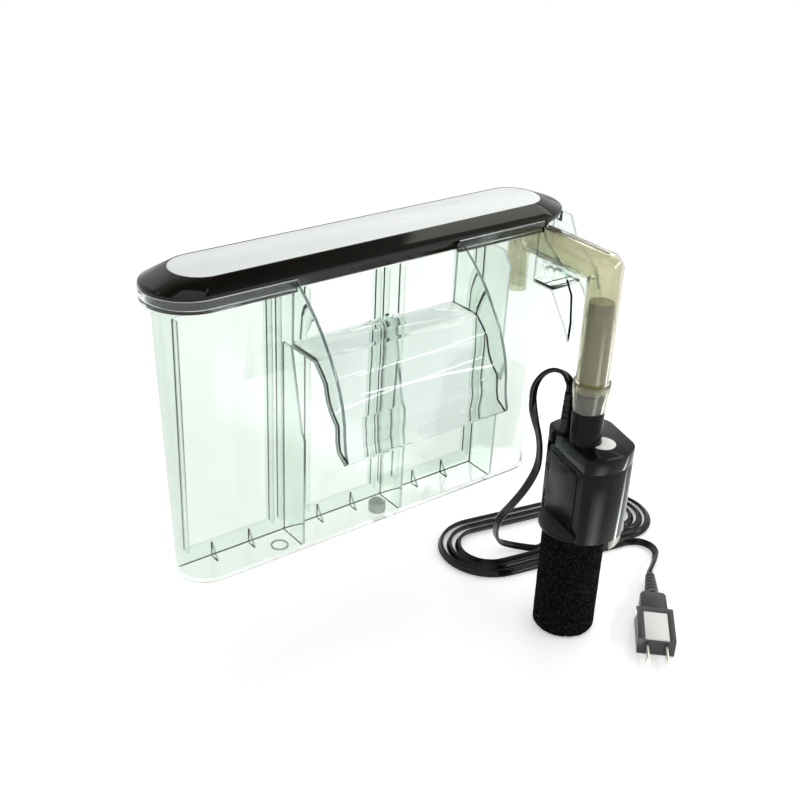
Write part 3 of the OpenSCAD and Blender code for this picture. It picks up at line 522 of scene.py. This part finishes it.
def dress(node):
    """A copy of a CAD node's mesh with rounded edges and its finish, standing for the node."""
    mesh = frame["nodes"][node].data.copy()
    mesh.name = node + "_dressed"
    obj = place(node + "_dressed", mesh)
    mesh.materials.clear()
    mesh.materials.append(FINISH[VARIANT.get(node, SLOT_OF[node])])
    bm = bmesh.new()
    bm.from_mesh(mesh)
    for f in bm.faces:
        f.material_index = 0
        f.smooth = True
    bmesh.ops.remove_doubles(bm, verts=bm.verts, dist=SAME_POINT)
    bmesh.ops.dissolve_limit(bm, angle_limit=FLAT_ANGLE, verts=bm.verts, edges=bm.edges)
    if node == "lid_cover":
        draw_in_lid_edge(bm)
    bevel = BEVEL.get(node, USUAL_BEVEL) * MM
    sharp = [e for e in bm.edges if len(e.link_faces) == 2 and e.calc_face_angle(0) > SHARP_ANGLE]
    if bevel and sharp:
        bmesh.ops.bevel(bm, geom=sharp, offset=bevel, segments=BEVEL_SEGMENTS, profile=0.5,
                        affect="EDGES", clamp_overlap=True)
    if second_finish(node):
        finish, takes = second_finish(node)
        mesh.materials.append(FINISH[finish])
        for f in bm.faces:
            f.normal_update()
            if takes(f.normal, f.calc_center_median().z):
                f.material_index = 1
    bm.to_mesh(mesh)
    bm.free()
    mesh.set_sharp_from_angle(angle=SHADE_ANGLE)
    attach(obj, BODY_OF[node])
    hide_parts(node)
    return obj


MODELLED_ANEW = ("cord_riser", "cord_coil", "cord_lead", "sponge")
dressed = {node: dress(node) for node in SLOT_OF if node not in MODELLED_ANEW}

# ---------------------------------------------------------------- foam pre-filter
FOAM_STEP = 0.5 * MM
FOAM_CORNER = 3 * MM
FOAM_BORE = 8.6 * MM
FOAM_BORE_SHOWN = 12 * MM  # depth of the bore that is modelled, from the top
FOAM_TOP_RINGS = 20
FOAM_AROUND = 260
PIT_CELLS, PIT_SIZE, PIT_DEPTH = 620, 0.55, 1.5 * MM
SWELL_CELLS, SWELL, SWELL_MOST = 160, 0.25 * MM, 0.1 * MM


def foam_profile(low, high, radius):
    """Radius and height of each ring, from inside the bore to the middle of the underside."""
    profile = [(FOAM_BORE, high.z - FOAM_BORE_SHOWN), (FOAM_BORE, high.z)]
    profile += [(FOAM_BORE + (radius - FOAM_BORE) * i / FOAM_TOP_RINGS, high.z)
                for i in range(1, FOAM_TOP_RINGS)]
    down = int((high.z - low.z - FOAM_CORNER) / FOAM_STEP)
    profile += [(radius, high.z - FOAM_STEP * i) for i in range(down)]
    for a in range(0, 91, 10):
        t = math.radians(a)
        profile.append((radius - FOAM_CORNER + FOAM_CORNER * math.cos(t),
                        low.z + FOAM_CORNER - FOAM_CORNER * math.sin(t)))
    inner = int((radius - FOAM_CORNER) / FOAM_STEP)
    return profile + [((radius - FOAM_CORNER) * (1 - i / inner), low.z) for i in range(1, inner)]


def foam():
    """Open-cell foam: a lathed form whose skin is pitted cell by cell."""
    low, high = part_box("sponge")
    mid = (low + high) / 2
    radius = (high.x - low.x) / 2 - 0.2 * MM
    corner = low.z + FOAM_CORNER
    profile = foam_profile(low, high, radius)
    verts, faces = [], []
    for r, z in profile:
        for k in range(FOAM_AROUND):
            a = 2 * math.pi * k / FOAM_AROUND
            p = Vector((mid.x + r * math.cos(a), mid.y + r * math.sin(a), z))
            cell = noise.voronoi(p * PIT_CELLS, distance_metric="DISTANCE")[0]
            pit = min(1.0, cell[0] / PIT_SIZE) ** 1.5 if r > FOAM_BORE else 1.0
            swell = noise.noise(p * SWELL_CELLS) * SWELL
            out = Vector((math.cos(a), math.sin(a), 0))
            if z <= low.z + 1e-6:
                out = Vector((0, 0, -1))
            elif z < corner:
                out = out * (r - radius + FOAM_CORNER) + Vector((0, 0, z - corner))
                out.normalize()
            verts.append(p - out * ((1 - pit) * PIT_DEPTH) + out * min(swell, SWELL_MOST))
    for i in range(len(profile) - 1):
        for k in range(FOAM_AROUND):
            a, b = i * FOAM_AROUND + k, i * FOAM_AROUND + (k + 1) % FOAM_AROUND
            faces.append((a, a + FOAM_AROUND, b + FOAM_AROUND, b))
    verts.append(Vector((mid.x, mid.y, low.z)))
    last = (len(profile) - 1) * FOAM_AROUND
    faces += [(last + k, len(verts) - 1, last + (k + 1) % FOAM_AROUND)
              for k in range(FOAM_AROUND)]
    obj = mesh_object("foam_prefilter", verts, faces, "foam")
    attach(obj, "sponge")
    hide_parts("sponge")


foam()

# ---------------------------------------------------------------- floor and light
SOFT_LIGHT = 0.50  # strength of the light that comes evenly from all round
FLOOR_LIFT = 0.36  # glow that brings the lit floor up to the white of the backdrop
FLOOR_DROP = 0.2 * MM
FLOOR_SOLID, FLOOR_GONE = 0.55, 0.95  # the floor fades into the backdrop between these radii
PUMP_AXIS = (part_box("strainer")[0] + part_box("strainer")[1]) / 2
GLINT_COLOUR = (0.93, 1.0, 0.95, 1)
GLINT_FADES = 0.45  # share of its reach beyond which a glint card fades out
SOFT_GLINT = [(0.0, (0, 0, 0)), (0.5, (1, 1, 1)), (1.0, (0, 0, 0))]
HARD_GLINT = [(0.0, (0, 0, 0)), (0.85, (1, 1, 1)), (1.0, (0, 0, 0))]
# Heading in degrees from +x, nearest and furthest reach, half width there, strength, profile.
GLINTS = {"streak_card": (-25, 0.05, 0.45, 0.045, 13, HARD_GLINT),
          "sheen_card": (-96, 0.06, 0.42, 0.15, 4.5, SOFT_GLINT)}
WHITE = (1, 1, 1)
# Place, aim, size, watts, colour, and whether glossy surfaces show the lamp.
LAMPS = {
    "strip_right": ((0.75, -0.75, 0.45), (0.1, 0.0, -0.1), (1.2, 0.06), 3.5, WHITE, True),
    "softbox_high": ((1.1, 0.1, 1.15), (0.05, 0.03, 0.04), (0.8, 0.5), 3, (0.96, 1.0, 0.88), True),
    "softbox_top": ((-0.3, -0.2, 1.3), (0.0, 0.0, 0.0), (1.0, 1.0), 3.4, WHITE, True),
    "softbox_back": ((0.96, 0.72, 0.54), (0.12, -0.04, -0.09), (0.7, 0.5), 4.2, WHITE, False),
}


def shown_directly(tree):
    """1 for rays from the camera, through clear parts and off glossy ones, and again 1 for the
    last kind alone."""
    rays = tree.nodes.new("ShaderNodeLightPath").outputs
    total = rays["Is Camera Ray"]
    for kind in ("Is Transmission Ray", "Is Glossy Ray"):
        total = maths(tree, "MAXIMUM", total, rays[kind])
    mirrored = maths(tree, "SUBTRACT", rays["Is Glossy Ray"], rays["Is Transmission Ray"])
    mirrored.node.use_clamp = True
    return total, mirrored


def staged(name, corners, mat):
    """A flat four-cornered piece of the studio."""
    data = bpy.data.meshes.new(name)
    data.from_pydata([(x, y, 0) for x, y in corners], [], [(0, 1, 2, 3)])
    data.materials.append(mat)
    obj = place(name, data)
    return obj


def floor():
    """Pale floor that keeps the object's shadow and fades out into the backdrop."""
    mat, tree, bsdf = tree_of("floor")
    tones(tree, bsdf, noise_node(tree, 2, 2), (0.895, 0.905, 0.895), (0.905, 0.915, 0.905))
    sockets(bsdf, Roughness=0.9, Specular_IOR_Level=0.0, Emission_Color=(1, 1, 1, 1))
    shown, _ = shown_directly(tree)
    link(tree, span(tree, shown, 0, FLOOR_LIFT, 0, 1), bsdf.inputs["Emission Strength"])
    away = tree.nodes.new("ShaderNodeVectorMath")
    away.operation = "LENGTH"
    link(tree, coords(tree), away.inputs[0])
    link(tree, span(tree, away.outputs["Value"], 1, 0, FLOOR_SOLID, FLOOR_GONE),
         bsdf.inputs["Alpha"])
    s = FLOOR_GONE
    obj = staged("floor", [(-s, -s), (s, -s), (s, s), (-s, s)], mat)
    obj.location = (0, 0, TABLE_Z - FLOOR_DROP)


def glint_card(name, heading, near, far, half, strength, profile):
    """Card on the floor in front of the pump, seen only in glossy surfaces. It runs away from the
    pump's axis and widens as it goes, and its glow fades towards its far end and long sides."""
    mat, tree, bsdf = tree_of(name)
    tree.nodes.remove(bsdf)
    _, glint = shown_directly(tree)
    place_on = split(tree, coords(tree))
    spread = maths(tree, "DIVIDE", place_on["Y"], place_on["X"])
    across = ramp(tree, span(tree, spread, 0, 1, -half / far, half / far), profile)
    along = span(tree, place_on["X"], 0, strength, far, far * GLINT_FADES)
    for share in (across, along):
        glint = maths(tree, "MULTIPLY", glint, share)
    glow = tree.nodes.new("ShaderNodeEmission")
    sockets(glow, Color=GLINT_COLOUR)
    link(tree, glint, glow.inputs["Strength"])
    unseen = tree.nodes.new("ShaderNodeBsdfTransparent")
    added = tree.nodes.new("ShaderNodeAddShader")
    link(tree, unseen.outputs[0], added.inputs[0])
    link(tree, glow.outputs[0], added.inputs[1])
    link(tree, added.outputs[0], tree.nodes["Material Output"].inputs["Surface"])
    narrow = half * near / far
    obj = staged(name, [(near, -narrow), (far, -half), (far, half), (near, narrow)], mat)
    obj.location = (PUMP_AXIS.x, PUMP_AXIS.y, TABLE_Z)
    obj.rotation_euler = (0, 0, math.radians(heading))


def area(name, at, toward, size, watts, colour, mirrored):
    data = bpy.data.lights.new(name, "AREA")
    data.shape = "RECTANGLE"
    data.size, data.size_y = size
    data.energy = watts
    data.color = colour
    obj = place(name, data)
    obj.location = at
    obj.rotation_euler = (Vector(toward) - Vector(at)).to_track_quat("-Z", "Y").to_euler()
    obj.visible_glossy = mirrored


def world():
    """White backdrop, seen by the camera, through clear parts and in glossy ones, where a dark
    ceiling gives the reflections their shape. Matt surfaces get a plain soft light."""
    w = bpy.data.worlds.new("studio")
    bpy.context.scene.world = w
    w.use_nodes = True
    tree = w.node_tree
    tree.nodes.clear()
    out = tree.nodes.new("ShaderNodeOutputWorld")
    back = tree.nodes.new("ShaderNodeBackground")
    shown, mirrored = shown_directly(tree)
    heading = tree.nodes.new("ShaderNodeTexCoord").outputs["Generated"]
    ceiling = ramp(tree, split(tree, heading)["Z"], [
        (0.50, WHITE), (0.62, (0.72, 0.74, 0.72)), (0.76, (0.34, 0.35, 0.33)),
        (0.90, (0.03, 0.03, 0.03))])
    mix = tree.nodes.new("ShaderNodeMix")
    mix.data_type = "RGBA"
    factor, plain, in_gloss = mix.inputs[0], mix.inputs[6], mix.inputs[7]
    plain.default_value = (*WHITE, 1)
    link(tree, mirrored, factor)
    link(tree, ceiling, in_gloss)
    link(tree, mix.outputs[2], back.inputs["Color"])
    link(tree, span(tree, shown, SOFT_LIGHT, 1.0, 0, 1), back.inputs["Strength"])
    link(tree, back.outputs[0], out.inputs["Surface"])


floor()
world()
for name, look in GLINTS.items():
    glint_card(name, *look)
for name, lamp in LAMPS.items():
    area(name, *lamp)
bpy.context.scene.view_settings.view_transform = "Standard"
